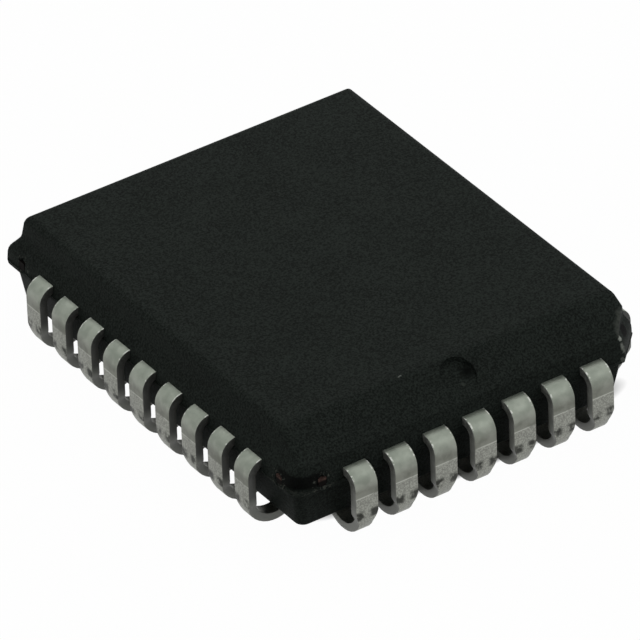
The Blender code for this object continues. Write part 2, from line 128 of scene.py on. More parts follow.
paper = new_material("matt_paper")
sheet_spots = node(paper, "ShaderNodeTexCoord").outputs["Object"]
off_centre = node(
    paper, "ShaderNodeVectorMath", {"operation": "SUBTRACT"}, _0=sheet_spots, _1=DEEP_SHADE_CENTRE
)
in_half_sizes = node(
    paper, "ShaderNodeVectorMath", {"operation": "DIVIDE"}, _0=off_centre, _1=DEEP_SHADE_HALF_SIZE
)
away = node(paper, "ShaderNodeVectorMath", {"operation": "LENGTH"}, _0=in_half_sizes)
whiteness = node(
    paper,
    "ShaderNodeMapRange",
    Value=away,
    From_Min=DEEP_SHADE_FULL,
    From_Max=DEEP_SHADE_END,
    To_Min=0.0,
    To_Max=1 - SHADOW_SHARE,
)
ray = node(paper, "ShaderNodeLightPath").outputs
seen = node(
    paper, "ShaderNodeMath", {"operation": "MAXIMUM"}, _0=ray["Is Camera Ray"], _1=ray["Is Glossy Ray"]
)
seen = node(paper, "ShaderNodeMath", {"operation": "MAXIMUM"}, _0=seen, _1=ray["Is Transmission Ray"])
matt = node(paper, "ShaderNodeBsdfDiffuse", Color=linear(PAPER))
white = node(paper, "ShaderNodeEmission", Color=linear("#FFFFFF"), Strength=PAPER_GLOW)
shown = node(paper, "ShaderNodeMixShader", _0=whiteness, _1=matt, _2=white)
sheet = node(paper, "ShaderNodeMixShader", _0=seen, _1=matt, _2=shown)
node(paper, "ShaderNodeOutputMaterial", Surface=sheet)

bpy.ops.object.select_all(action="DESELECT")
bpy.ops.mesh.primitive_plane_add(size=FLOOR_SIZE)
floor = bpy.context.object
floor.name = "floor"
floor.data.materials.append(paper)

# Soft studio light: a pale room all round and two broad panels, one above and behind the chip and a weaker
# one to its north.

ROOM_COLOUR = "#F2F4F1"
ROOM_LIGHT = 0.62
BACK_PANEL_WATTS = 0.19
NORTH_PANEL_WATTS = 0.07
PANEL_DISTANCE = 0.35

room = bpy.data.worlds.new("pale_room")
bpy.context.scene.world = room
room.use_nodes = True
room.node_tree.nodes["Background"].inputs["Color"].default_value = linear(ROOM_COLOUR)
room.node_tree.nodes["Background"].inputs["Strength"].default_value = ROOM_LIGHT


def light_panel(name, azimuth, elevation, size, watts):
    """A square lamp that faces the chip. Azimuth is counterclockwise from +X."""
    towards = Vector((cos(radians(azimuth)), sin(radians(azimuth)), tan(radians(elevation)))).normalized()
    spot = towards * PANEL_DISTANCE
    bpy.ops.object.light_add(type="AREA", location=spot, rotation=spot.to_track_quat("Z", "Y").to_euler())
    lamp = bpy.context.object
    lamp.name = name
    lamp.data.shape = "SQUARE"
    lamp.data.size = size
    lamp.data.energy = watts


light_panel("back_panel", azimuth=237, elevation=40, size=0.40, watts=BACK_PANEL_WATTS)
light_panel("north_panel", azimuth=128, elevation=43, size=0.15, watts=NORTH_PANEL_WATTS)

# The moulded block. A black epoxy compound, filled with silica, is pressed round the lead frame in a mould
# of two halves. The lower half is plain and drafted, under a thin rim. The upper half rises from a band
# through a ledge into the cap, whose north end slopes down to the pins.

BLOCK_EAST = 5.75
BLOCK_NORTH = 7.015
PARTING = 1.88
BASE = 0.55
TOP = 3.33
SLOPE_START = 5.80
SLOPE_ANGLE = 35.0

# Each level's height, how far its long sides, its north end and its south end stand in from the block's
# outline, the radius of its gate corner, which faces the camera, and the size of its pin-1 bevel
Level = namedtuple("Level", "height side_in north_in south_in gate bevel")
LOWER_LEVELS = (
    Level(PARTING, 0.0, 0.0, 0.0, 0.35, 0.87),
    Level(1.77, 0.015, 0.015, 0.015, 0.35, 0.87),
    Level(1.60, 0.21, 0.21, 0.21, 0.30, 0.76),
    Level(BASE, 0.357, 0.357, 0.357, 0.30, 0.80),
)
UPPER_LEVELS = (
    Level(1.86, 0.034, 0.025, 0.020, 0.65, 0.83),
    Level(2.10, 0.050, 0.038, 0.030, 0.65, 0.81),
    Level(2.20, 0.068, 0.055, 0.050, 0.60, 0.79),
    Level(2.28, 0.096, 0.070, 0.085, 0.50, 0.78),
    Level(2.36, 0.136, 0.088, 0.145, 0.38, 0.77),
    Level(2.44, 0.184, 0.108, 0.215, 0.27, 0.76),
    Level(2.52, 0.238, 0.126, 0.275, 0.18, 0.75),
    Level(2.58, 0.280, 0.143, 0.320, 0.12, 0.74),
    Level(2.64, 0.310, 0.150, 0.345, 0.12, 0.73),
    Level(2.72, 0.330, 0.155, 0.362, 0.12, 0.72),
    Level(2.85, 0.345, 0.160, 0.385, 0.12, 0.70),
    Level(TOP, 0.410, 0.160, 0.460, 0.12, 0.64),
)
GATE_CORNER_FACETS = 10

# Rounded edges: each half's largest radius, and the radii or shares of it that its other edges have
LOWER_CORNER_RADIUS = 0.2
BASE_EDGE_SHARE = 0.5
TOP_EDGE_RADIUS = 0.24
UPPER_CORNER_RADIUS = 0.11
CREASE_SHARE = 0.5
HIP_SHARE = 0.6
HIP_FOOT = 2.70

# An edge past both of these is one of a corner's. A point this close to a place is at it
CORNER_EAST = 5.2
CORNER_NORTH = 6.4
CLOSE = 0.01
AT = 0.001


def finish_in_metres(piece, name):
    """Brings a piece modelled in millimetres down to size, with its place in its mesh."""
    bpy.ops.object.mode_set(mode="OBJECT")
    bpy.ops.object.select_all(action="DESELECT")
    piece.select_set(True)
    bpy.context.view_layer.objects.active = piece
    piece.scale = (0.001, 0.001, 0.001)
    piece.location = piece.location * 0.001
    bpy.ops.object.transform_apply(location=True, rotation=True, scale=True)
    piece.name = name
    piece.data.name = name


def add_block(low, high):
    """A cube between two corners, open in edit mode with nothing selected."""
    bpy.ops.object.select_all(action="DESELECT")
    centre = (Vector(low) + Vector(high)) / 2
    bpy.ops.mesh.primitive_cube_add(size=1, location=centre)
    piece = bpy.context.object
    piece.scale = Vector(high) - Vector(low)
    bpy.ops.object.transform_apply(location=True, rotation=False, scale=True)
    bpy.ops.object.mode_set(mode="EDIT")
    bpy.ops.mesh.select_all(action="DESELECT")
    return piece


def deselect_all(kind):
    """Leaves nothing selected, ready to select faces, edges or vertices in object mode."""
    bpy.ops.object.mode_set(mode="EDIT")
    bpy.ops.mesh.select_mode(type=kind)
    bpy.ops.mesh.select_all(action="DESELECT")
    bpy.ops.object.mode_set(mode="OBJECT")


def select_faces(piece, wanted):
    """Selects the faces whose normal passes the test."""
    deselect_all("FACE")
    for face in piece.data.polygons:
        face.select = wanted(face.normal)
    bpy.ops.object.mode_set(mode="EDIT")


def select_edges(piece, wanted):
    """Selects the edges whose two ends pass the test."""
    deselect_all("EDGE")
    spots = [v.co.copy() for v in piece.data.vertices]
    for edge in piece.data.edges:
        edge.select = wanted(spots[edge.vertices[0]], spots[edge.vertices[1]])
    bpy.ops.object.mode_set(mode="EDIT")


def select_vertices(piece, wanted):
    """Selects the vertices that pass the test."""
    deselect_all("VERT")
    for vertex in piece.data.vertices:
        vertex.select = wanted(vertex.co)
    bpy.ops.object.mode_set(mode="EDIT")


def reach_of(level):
    """How far a level goes to the east, the north and the south."""
    return BLOCK_EAST - level.side_in, BLOCK_NORTH - level.north_in, BLOCK_NORTH - level.south_in


def resize_end(old, new):
    """Moves the sides of the selected end from one reach to another."""
    middle = (old[1] - old[2]) / 2
    share = (new[0] / old[0], (new[1] + new[2]) / (old[1] + old[2]), 1)
    bpy.ops.transform.resize(value=share, center_override=(0, middle, 0))
    bpy.ops.transform.translate(value=(0, (new[1] - new[2]) / 2 - middle, 0))


def cut_north_corner(piece, side, level, size, facets):
    """Rounds or bevels the upright edge at a north corner. The east side is 1 and the west side is -1."""
    east, north, south = reach_of(level)

    def stands_there(a, b):
        return min(a.x * side, b.x * side) > east - CLOSE and min(a.y, b.y) > north - CLOSE

    select_edges(piece, stands_there)
    bpy.ops.mesh.bevel(
        offset=size, offset_type="OFFSET", segments=facets, affect="EDGES", clamp_overlap=False
    )


def resize_north_corner(piece, side, level, old_size, new_size, slack):
    """Draws the cut of a north corner in, or out, at one level."""
    if new_size == old_size:
        return
    east, north, south = reach_of(level)
    room = old_size + slack
    select_vertices(
        piece, lambda p: abs(p.z - level.height) < AT and p.x * side > east - room and p.y > north - room
    )
    share = new_size / old_size
    bpy.ops.transform.resize(value=(share, share, 1), center_override=(east * side, north, level.height))


def block_of_levels(levels):
    """Draws a block out level by level, and changes its gate corner and its pin-1 bevel as it goes."""
    first, second = levels[:2]
    way = 1 if second.height > first.height else -1
    low, high = sorted((first.height, second.height))
    east, north, south = reach_of(first)
    piece = add_block((-east, -south, low), (east, north, high))
    cut_north_corner(piece, 1, first, first.gate, GATE_CORNER_FACETS)
    cut_north_corner(piece, -1, first, first.bevel, 1)
    for old, new in zip(levels, levels[1:]):
        select_faces(piece, lambda normal: normal.z * way > 0.9)
        if old is not first:
            step = new.height - old.height
            bpy.ops.mesh.extrude_region_move(TRANSFORM_OT_translate={"value": (0, 0, step)})
        resize_end(reach_of(old), reach_of(new))
        resize_north_corner(piece, 1, new, old.gate, new.gate, slack=0.02)
        resize_north_corner(piece, -1, new, old.bevel, new.bevel, slack=0.1)
    return piece


def cut_off(piece, place, outward):
    """Cuts away what lies past a plane and closes the cut."""
    bpy.ops.object.mode_set(mode="EDIT")
    bpy.ops.mesh.select_all(action="SELECT")
    bpy.ops.mesh.bisect(plane_co=place, plane_no=outward, use_fill=True, clear_outer=True, threshold=1e-5)


def weigh_edges(piece, wanted, weight):
    """Marks edges for rounding, with their share of the half's largest radius."""
    select_edges(piece, wanted)
    bpy.ops.transform.edge_bevelweight(value=weight)


def round_weighed_edges(piece, radius, facets):
    bpy.ops.object.mode_set(mode="OBJECT")
    edges = piece.modifiers.new("soft_edges", "BEVEL")
    edges.limit_method = "WEIGHT"
    edges.width = radius
    edges.segments = facets
    edges.use_clamp_overlap = False
    bpy.ops.object.modifier_apply(modifier=edges.name)


def upright_at_south_corner(side):
    """Tests for the upright edges of a south corner. The east side is 1 and the west side is -1."""

    def test(a, b):
        along = a.x * side > CORNER_EAST and b.x * side > CORNER_EAST
        across = -a.y > CORNER_NORTH and -b.y > CORNER_NORTH
        return along and across and abs(a.z - b.z) > CLOSE

    return test


# The lower half
lower = block_of_levels(LOWER_LEVELS)
for side in (1, -1):
    weigh_edges(lower, upright_at_south_corner(side), 1.0)
weigh_edges(lower, lambda a, b: max(a.z, b.z) < BASE + CLOSE, BASE_EDGE_SHARE)
round_weighed_edges(lower, LOWER_CORNER_RADIUS, 4)

# The upper half, cut by the slope
upper = block_of_levels(UPPER_LEVELS)
slope_place = Vector((0, SLOPE_START, TOP))
slope_way = Vector((0, sin(radians(SLOPE_ANGLE)), cos(radians(SLOPE_ANGLE))))
cut_off(upper, slope_place, slope_way)


def on_slope(p):
    return abs((p - slope_place).dot(slope_way)) < AT


def on_top(p):
    return p.z > TOP - AT


def is_crease(a, b):
    """The edge where the slope leaves the top."""
    return on_top(a) and on_top(b) and on_slope(a) and on_slope(b)


def is_hip(a, b):
    """An edge where the slope meets the cap's long side."""
    beside = abs(a.x) > CORNER_EAST and abs(b.x) > CORNER_EAST and abs(a.z - b.z) > AT
    return on_slope(a) and on_slope(b) and beside and min(a.z, b.z) > HIP_FOOT


weigh_edges(upper, lambda a, b: on_top(a) and on_top(b) and not is_crease(a, b), 1.0)
weigh_edges(upper, is_crease, CREASE_SHARE)
weigh_edges(upper, is_hip, HIP_SHARE)
for side in (1, -1):
    weigh_edges(upper, upright_at_south_corner(side), UPPER_CORNER_RADIUS / TOP_EDGE_RADIUS)
round_weighed_edges(upper, TOP_EDGE_RADIUS, 6)


def combine(piece, other, operation):
    """Welds the other piece into this one, or cuts it out, and removes it."""
    bpy.ops.object.select_all(action="DESELECT")
    bpy.context.view_layer.objects.active = piece
    piece.select_set(True)
    change = piece.modifiers.new("shape", "BOOLEAN")
    change.operation = operation
    change.solver = "EXACT"
    change.object = other
    bpy.ops.object.modifier_apply(modifier=change.name)
    bpy.data.objects.remove(other)


block = lower
combine(block, upper, "UNION")

# The dimple beside pin 1 has a flat floor at a lower angle than the slope, so it runs out at its north side
DIMPLE_RADIUS = 0.555
DIMPLE_FLOOR_ANGLE = 26.0
DIMPLE_RUN_OUT = 1.16
PUNCH_LENGTH = 0.6
PUNCH_TIP_UNDER = 0.04
PUNCH_BACK_OVER = 0.06
bpy.ops.object.select_all(action="DESELECT")
bpy.ops.mesh.primitive_cone_add(
    vertices=64,
    radius1=DIMPLE_RADIUS - PUNCH_TIP_UNDER,
    radius2=DIMPLE_RADIUS + PUNCH_BACK_OVER,
    depth=PUNCH_LENGTH,
    location=(0, 0, PUNCH_LENGTH / 2),
)
punch = bpy.context.object
bpy.ops.object.transform_apply(location=True, rotation=False, scale=False)
punch.rotation_euler.x = -radians(DIMPLE_FLOOR_ANGLE)
bpy.ops.object.transform_apply(location=False, rotation=True, scale=False)
down_slope = Vector((0, cos(radians(SLOPE_ANGLE)), -sin(radians(SLOPE_ANGLE))))
up_floor = Vector((0, -cos(radians(DIMPLE_FLOOR_ANGLE)), sin(radians(DIMPLE_FLOOR_ANGLE))))
punch.location = slope_place + down_slope * DIMPLE_RUN_OUT + up_floor * DIMPLE_RADIUS
bpy.context.view_layer.update()
combine(block, punch, "DIFFERENCE")

# Two ejector pins leave shallow round marks underneath
EJECTOR_RADIUS = 0.75
EJECTOR_PLACE = 3.8
EJECTOR_DEPTH = 0.05
for end in (-1, 1):
    bpy.ops.object.select_all(action="DESELECT")
    bpy.ops.mesh.primitive_cylinder_add(
        vertices=48, radius=EJECTOR_RADIUS, depth=2 * EJECTOR_DEPTH, location=(0, end * EJECTOR_PLACE, BASE)
    )
    combine(block, bpy.context.object, "DIFFERENCE")

# The trim tool broke the compound away round the cut ends of the tie bars: a ragged pocket for each end
TIE_END_EAST = 4.85
TIE_END_NORTH = 6.20
TIE_END_HEIGHT = 2.02
POCKET_RISE = 0.02
GATE_POCKET_SHIFT = 0.02
BROKEN_BY = 0.03


def cut_trim_pocket(block, place, size, seed):
    """A lump with a broken surface, cut out of the block's side."""
    bpy.ops.object.select_all(action="DESELECT")
    bpy.ops.mesh.primitive_ico_sphere_add(subdivisions=3, radius=0.5, location=(0, 0, 0))
    lump = bpy.context.object
    lump.scale = size
    bpy.ops.object.transform_apply(location=False, rotation=False, scale=True)
    bpy.ops.object.mode_set(mode="EDIT")
    bpy.ops.mesh.select_all(action="SELECT")
    bpy.ops.transform.vertex_random(offset=BROKEN_BY, uniform=0.8, normal=0.3, seed=seed)
    bpy.ops.object.mode_set(mode="OBJECT")
    lump.location = place
    bpy.context.view_layer.update()
    combine(block, lump, "DIFFERENCE")


# Each pocket's place east and north, its size and the seed of its broken surface
pockets = (
    ((BLOCK_EAST, TIE_END_NORTH - GATE_POCKET_SHIFT), (0.24, 0.34, 0.42), 11),
    ((TIE_END_EAST, BLOCK_NORTH), (0.36, 0.24, 0.42), 2),
    ((BLOCK_EAST, -TIE_END_NORTH), (0.30, 0.36, 0.56), 3),
    ((TIE_END_EAST, -BLOCK_NORTH), (0.36, 0.24, 0.44), 4),
    ((-BLOCK_EAST, -TIE_END_NORTH), (0.26, 0.36, 0.44), 5),
    ((-TIE_END_EAST, -BLOCK_NORTH), (0.38, 0.24, 0.40), 9),
)
for (east, north), size, seed in pockets:
    cut_trim_pocket(block, (east, north, TIE_END_HEIGHT + POCKET_RISE), size, seed)
finish_in_metres(block, "moulded_body_shell")
block.data.materials.clear()

# Black epoxy compound: carbon black in resin and silica. The mould is spark eroded, which leaves a fine
# matt grain on it, so it is soft grey where the light grazes it and shows hardly any gloss. Round the gate
# corner it is drawn darker between two heights, over a thin rim of flash with a painted highlight on it, and
# it is chipped pale round the trimmed tie bars. Sizes and heights on the block are in metres.

GRAIN_SIZE = 0.000055
GRAIN_DEPTH = 0.00002
CLOUD_SIZE = 0.0016
CLOUD_SHARE = 0.12
CHIP_SIZE = 0.00009
GATE_DARK_REACH = 0.00110
DARK_BAND_LOW, DARK_BAND_HIGH, DARK_BAND_SOFT = 0.00194, 0.00234, 0.00005
RIM_LIGHT_REACH = GATE_DARK_REACH * 1.3
RIM_LIGHT_LOW, RIM_LIGHT_HIGH, RIM_LIGHT_SOFT = 0.00183, 0.00188, 0.00001
CHIPPED_ROUND_TIE = 0.00042
RAGGED_SIZE = 0.00012
RAGGED_BY = 0.00018

SMOOTH = {"interpolation_type": "SMOOTHSTEP"}
TIMES = {"operation": "MULTIPLY"}
COLOURS = {"data_type": "RGBA"}


def lay_over(material, under, over, *shares):
    """One colour laid over another, as strongly as its shares allow when they are multiplied together."""
    strength = shares[0]
    for share in shares[1:]:
        strength = node(material, "ShaderNodeMath", TIMES, _0=strength, _1=share)
    return node(material, "ShaderNodeMix", COLOURS, Factor=strength, A=under, B=over)


def height_band(material, height, low, high, soft):
    """One between two heights, zero outside them."""
    over = node(
        material, "ShaderNodeMapRange", SMOOTH, Value=height, From_Min=low - soft, From_Max=low + soft
    )
    under = node(
        material, "ShaderNodeMapRange", SMOOTH, Value=height, From_Min=high + soft, From_Max=high - soft
    )
    return node(material, "ShaderNodeMath", TIMES, _0=over, _1=under)


def nearness(material, spots, place, reach, core=0.7):
    """One at a place in millimetres and within a share of its reach, zero from its reach outwards."""
    centre = Vector(place) / 1000
    away = node(material, "ShaderNodeVectorMath", {"operation": "DISTANCE"}, _0=spots, _1=centre)
    return node(material, "ShaderNodeMapRange", SMOOTH, Value=away, From_Min=reach, From_Max=reach * core)


compound = new_material("black_epoxy_compound")
spots = node(compound, "ShaderNodeTexCoord").outputs["Object"]
height = node(compound, "ShaderNodeSeparateXYZ", Vector=spots).outputs["Z"]
flat = node(compound, "ShaderNodeVectorMath", TIMES, _0=spots, _1=(1, 1, 0))
grain = node(compound, "ShaderNodeTexNoise", Vector=spots, Scale=1 / GRAIN_SIZE, Detail=2.0, Roughness=0.7)
cloud = node(compound, "ShaderNodeTexNoise", Vector=spots, Scale=1 / CLOUD_SIZE, Detail=3.0)
faint_cloud = node(compound, "ShaderNodeMath", TIMES, _0=cloud, _1=CLOUD_SHARE)
grain_and_cloud = node(compound, "ShaderNodeMath", {"operation": "ADD"}, _0=faint_cloud, _1=grain)
pale = node(compound, "ShaderNodeMapRange", SMOOTH, Value=grain_and_cloud, From_Min=0.41, From_Max=0.71)
tint = lay_over(compound, linear("#161917"), linear("#2B302D"), pale)

# Darker round the gate corner, and a painted highlight on the rim of flash under it
by_gate = nearness(compound, flat, (BLOCK_EAST, BLOCK_NORTH, 0), GATE_DARK_REACH)
in_dark_band = height_band(compound, height, DARK_BAND_LOW, DARK_BAND_HIGH, DARK_BAND_SOFT)
tint = lay_over(compound, tint, linear("#030303"), by_gate, in_dark_band, 0.85)
chips = node(compound, "ShaderNodeTexNoise", Vector=spots, Scale=1 / CHIP_SIZE, Detail=2.0)
# A painted highlight: the thin rim of flash under the gate corner is painted pale
by_rim_light = nearness(compound, flat, (BLOCK_EAST, BLOCK_NORTH, 0), RIM_LIGHT_REACH)
in_rim_light = height_band(compound, height, RIM_LIGHT_LOW, RIM_LIGHT_HIGH, RIM_LIGHT_SOFT)
patchy_rim_light = node(compound, "ShaderNodeMapRange", SMOOTH, Value=chips, From_Min=0.42, From_Max=0.60)
tint = lay_over(compound, tint, linear("#3F413D"), by_rim_light, in_rim_light, patchy_rim_light)

# The pale chips round the tie bars
TIE_CHIPS_HEIGHT = 1.98
for east, north in (
    (BLOCK_EAST, TIE_END_NORTH),
    (TIE_END_EAST, BLOCK_NORTH),
    (BLOCK_EAST, -TIE_END_NORTH),
    (-TIE_END_EAST, -BLOCK_NORTH),
):
    by_tie = nearness(compound, spots, (east, north, TIE_CHIPS_HEIGHT), CHIPPED_ROUND_TIE)
    chipped = node(compound, "ShaderNodeMapRange", SMOOTH, Value=chips, From_Min=0.58, From_Max=0.66)
    tint = lay_over(compound, tint, linear("#4C4E49"), by_tie, chipped)

# At the pin-1 corner, its long edge has a painted highlight, a black spot on its flat is painted shade in a
# hole, and the edges below have pale spots. The dimple has painted shade under its west rim, and four pale
# specks lie on the slope and along its upper edge. Each spot has its place in millimetres, its reach in
# metres, the share of its reach that is not faded, and its colour
spots_and_painted_light = (
    # A painted highlight along the corner's long edge
    ((-5.16, 6.38, 2.93), 0.00017, 0, "#484B47"),
    ((-5.05, 6.50, 2.84), 0.00017, 0, "#484B47"),
    ((-4.93, 6.63, 2.75), 0.00016, 0, "#484B47"),
    ((-4.83, 6.75, 2.66), 0.00014, 0, "#484B47"),
    ((-4.77, 6.85, 2.57), 0.00012, 0, "#484B47"),
    # A black spot, painted shade in a hole on the flat
    ((-5.14, 6.55, 2.45), 0.00023, 0.7, "#020202"),
    ((-4.82, 6.86, 2.49), 0.00011, 0.5, "#A0A49E"),
    ((-4.85, 6.92, 2.30), 0.00009, 0, "#8C908A"),
    ((-4.86, 6.94, 2.22), 0.00010, 0, "#8C908A"),
    ((-4.87, 6.95, 2.13), 0.00009, 0, "#8C908A"),
    ((-4.80, 7.01, 1.87), 0.00009, 0.5, "#5C5F5B"),
    # Painted shade in the dimple under its west rim
    ((-0.33, 6.19, 2.91), 0.00036, 0, "#0A0C0B"),
    ((-0.03, 6.44, 2.76), 0.00010, 0, "#414440"),
    ((-0.68, 6.23, 2.93), 0.00006, 0, "#565A55"),
    ((1.52, 5.76, 3.33), 0.00006, 0.3, "#7A7E79"),
    ((-5.16, 5.84, 3.19), 0.00008, 0, "#565A55"),
)
waves = node(compound, "ShaderNodeTexNoise", Vector=spots, Scale=1 / RAGGED_SIZE, Detail=2.0)
shift = node(
    compound, "ShaderNodeVectorMath", {"operation": "SUBTRACT"}, _0=waves.outputs["Color"], _1=(0.5, 0.5, 0.5)
)
ragged = node(
    compound,
    "ShaderNodeVectorMath",
    {"operation": "MULTIPLY_ADD"},
    _0=shift,
    _1=(RAGGED_BY, RAGGED_BY, RAGGED_BY),
    _2=spots,
)
for place, reach, core, colour in spots_and_painted_light:
    tint = lay_over(compound, tint, linear(colour), nearness(compound, ragged, place, reach, core))
bump = node(compound, "ShaderNodeBump", Strength=0.5, Distance=GRAIN_DEPTH, Height=grain)
skin = node(
    compound,
    "ShaderNodeBsdfPrincipled",
    Base_Color=tint,
    Roughness=0.6,
    IOR=1.5,
    Specular_IOR_Level=0.03,
    Normal=bump,
)
node(compound, "ShaderNodeOutputMaterial", Surface=skin)
block.data.materials.append(compound)
bpy.ops.object.select_all(action="DESELECT")
block.select_set(True)
bpy.context.view_layer.objects.active = block
bpy.ops.object.shade_smooth_by_angle(angle=radians(24))
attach(block, "root")
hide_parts("moulded_body")

# The leads. Each is stamped from a copper alloy strip 0.25 mm thick, plated with matt tin and formed round a
# die into a shoulder, a leg and a J. Inside the block it goes on as a finger with its bond wire, as packed.

LEAD_PITCH = 1.27
STRIP_TOP = 2.19
STRIP_BOTTOM = 1.94
END_ROW_WIDTH = 0.71
LONG_ROW_WIDTH = 0.68
FOOT_WIDTH = 0.45
SHOULDER_RADIUS = 0.50
SHOULDER_STEPS = 9
LEG_END = 1.10
J_RADIUS = 0.88
J_TURN = 135
J_STEPS = 11
TAPER_TURN = 24
TAPER_WIDTHS = (0.67, 0.62, 0.56, 0.50)
LEAD_ROOT = 0.82
EDGE_ROUNDING = 0.022
EAST_REACH = 6.145
WEST_REACH = 6.215
NORTH_REACH = 7.535


def form_lead(width):
    """One lead outside the block, with its outer face at x = 0 and the block towards -X."""
    half = width / 2
    piece = add_block((-LEAD_ROOT, -half, STRIP_BOTTOM), (-SHOULDER_RADIUS, half, STRIP_TOP))
    select_faces(piece, lambda normal: normal.x > 0.9)
    leg_start = STRIP_TOP - SHOULDER_RADIUS
    shoulder_centre = (-SHOULDER_RADIUS, 0, leg_start)
    bpy.ops.mesh.spin(steps=SHOULDER_STEPS, angle=-pi / 2, center=shoulder_centre, axis=(0, 1, 0))
    bpy.ops.mesh.extrude_region_move(TRANSFORM_OT_translate={"value": (0, 0, LEG_END - leg_start)})
    bpy.ops.mesh.extrude_region_move(TRANSFORM_OT_translate={"value": (0, 0, J_RADIUS - LEG_END)})
    widths = (width, *TAPER_WIDTHS, FOOT_WIDTH)
    j_centre = (-J_RADIUS, 0, J_RADIUS)
    for new_width in widths:
        bpy.ops.transform.resize(value=(1, new_width / width, 1))
        width = new_width
        if width > FOOT_WIDTH:
            step = radians(TAPER_TURN / (len(widths) - 1))
            bpy.ops.mesh.spin(steps=1, angle=-step, center=j_centre, axis=(0, 1, 0))
    bpy.ops.mesh.spin(steps=J_STEPS, angle=-radians(J_TURN - TAPER_TURN), center=j_centre, axis=(0, 1, 0))
    bpy.ops.mesh.select_all(action="SELECT")
    bpy.ops.mesh.remove_doubles(threshold=1e-4)
    bpy.ops.mesh.normals_make_consistent(inside=False)
    bpy.ops.object.mode_set(mode="OBJECT")
    edges = piece.modifiers.new("stamped_edges", "BEVEL")
    edges.width = EDGE_ROUNDING
    edges.segments = 2
    edges.limit_method = "ANGLE"
    edges.angle_limit = radians(35)
    bpy.ops.object.modifier_apply(modifier=edges.name)
    return piece


def mark_faces(piece, sheared_and_lit):
    """Keeps on the mesh how far across the lead each point is, and which faces the punch cut, with
    the share of painted light that they take.
    """
    across = piece.data.attributes.new("across", "FLOAT", "POINT")
    for vertex in piece.data.vertices:
        across.data[vertex.index].value = vertex.co.y
    cut = piece.data.attributes.new("sheared_and_lit", "FLOAT", "FACE")
    for face in piece.data.polygons:
        cut.data[face.index].value = sheared_and_lit if abs(face.normal.y) > 0.7 else 0


def copy_of(piece):
    """A copy with a mesh of its own, selected alone."""
    bpy.ops.object.select_all(action="DESELECT")
    twin = piece.copy()
    twin.data = piece.data.copy()
    bpy.context.collection.objects.link(twin)
    twin.select_set(True)
    bpy.context.view_layer.objects.active = twin
    return twin


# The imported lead's leg and J lie under this height, in metres, and its finger lies over it
FINGER_OVER = 0.0015


def finger_inside(name, turn, reach):
    """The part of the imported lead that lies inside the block, as a clean mesh in metres."""
    finger = copy_of(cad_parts[name])
    finger.parent = None
    finger.data.materials.clear()
    bpy.ops.object.mode_set(mode="EDIT")
    bpy.ops.mesh.select_all(action="SELECT")
    bpy.ops.mesh.remove_doubles(threshold=1e-7)
    outward = Vector((cos(turn), sin(turn), 0))
    cut = outward * (reach - LEAD_ROOT) * 0.001
    bpy.ops.mesh.bisect(plane_co=(0, 0, FINGER_OVER), plane_no=(0, 0, -1), clear_outer=True, threshold=1e-9)
    bpy.ops.mesh.select_all(action="SELECT")
    bpy.ops.mesh.bisect(plane_co=cut, plane_no=outward, use_fill=True, clear_outer=True, threshold=1e-9)
    bpy.ops.object.mode_set(mode="OBJECT")
    return finger


# How far each row was trimmed and formed off its place along the side, and by how much its pitch is short
NORTH_ROW_OFF = -0.03
EAST_ROW_OFF = 0.025
EAST_ROW_SHRINK = 0.0115


def numbered_leads():
    """Every lead as (number, turn of its side, reach, place along the side), round from pin 1."""
    sides = (
        (90, NORTH_REACH, 7, NORTH_ROW_OFF, 0),
        (180, WEST_REACH, 9, 0, 0),
        (270, NORTH_REACH, 7, 0, 0),
        (0, EAST_REACH, 9, EAST_ROW_OFF, EAST_ROW_SHRINK),
    )
    row = []
    for side_turn, reach, count, off, shrink in sides:
        for index in range(count):
            along = (index - (count - 1) / 2) * LEAD_PITCH * (1 - shrink) + off
            row.append((radians(side_turn), reach, along))
    before_pin_1 = 3
    row = row[before_pin_1:] + row[:before_pin_1]
    return [(index + 1, *lead) for index, lead in enumerate(row)]


# Matt electroplated tin, a satin grey: clouded, painted paler on the shoulder as light falling on it, and
# rubbed bright in fine specks under the line that the forming die left. Its edges are smudged dark near the
# foot, where it was handled. The sides, cut by the punch, are dull, with painted light and shade on them.

# Sizes on the plating, in metres. The specks are drawn at about twice their real size, under a pixel
CLOUDING_SIZE = 0.00035
SMEAR_SIZE = 0.00020
BLOTCH_SIZE = 0.00012
SPECK_SIZE = 0.00004
SPECK_DEPTH = 0.00001

# Heights on the lead, in metres: where the leg's tin gives way to the shoulder's painted paler tone, the die
# line with the wear under it, the band of smudges, which fade out at both ends, and the exit from the block
SHOULDER_LIGHT_LOW, SHOULDER_LIGHT_HIGH = 0.00160, 0.00214
DIE_LINE = 0.001445
DIE_LINE_WIDTH = 0.00003
WORN_FROM, WORN_FULL = DIE_LINE + 0.00004, DIE_LINE - 0.00002
SMUDGE_LOW = 0.00068
SMUDGE_LOW_FADE = 0.00010
SMUDGE_HIGH = 0.00106
SMUDGE_HIGH_FADE = 0.00012
EXIT_LOW, EXIT_HIGH = 0.00196, 0.00202

# Heights between which the painted shade on a side cut by the punch changes: the long rows' side is painted
# pale on the hook and darker above it, and every row's is painted darker up the leg and again up the shoulder
HOOK_SHADE_LOW, HOOK_SHADE_HIGH = 0.00078, 0.00115
LEG_SHADE_LOW, LEG_SHADE_HIGH, LEG_SHADE = 0.00090, 0.00130, 0.28
SHOULDER_SHADE_LOW, SHOULDER_SHADE_HIGH, SHOULDER_SHADE = 0.00150, 0.00200, 0.50

# How far a side cut by the punch has the end rows' paler colour: painted light on sides facing east and west
END_ROW_SIDE_LIGHT = 1.0
LONG_ROW_SIDE_LIGHT = 0.15

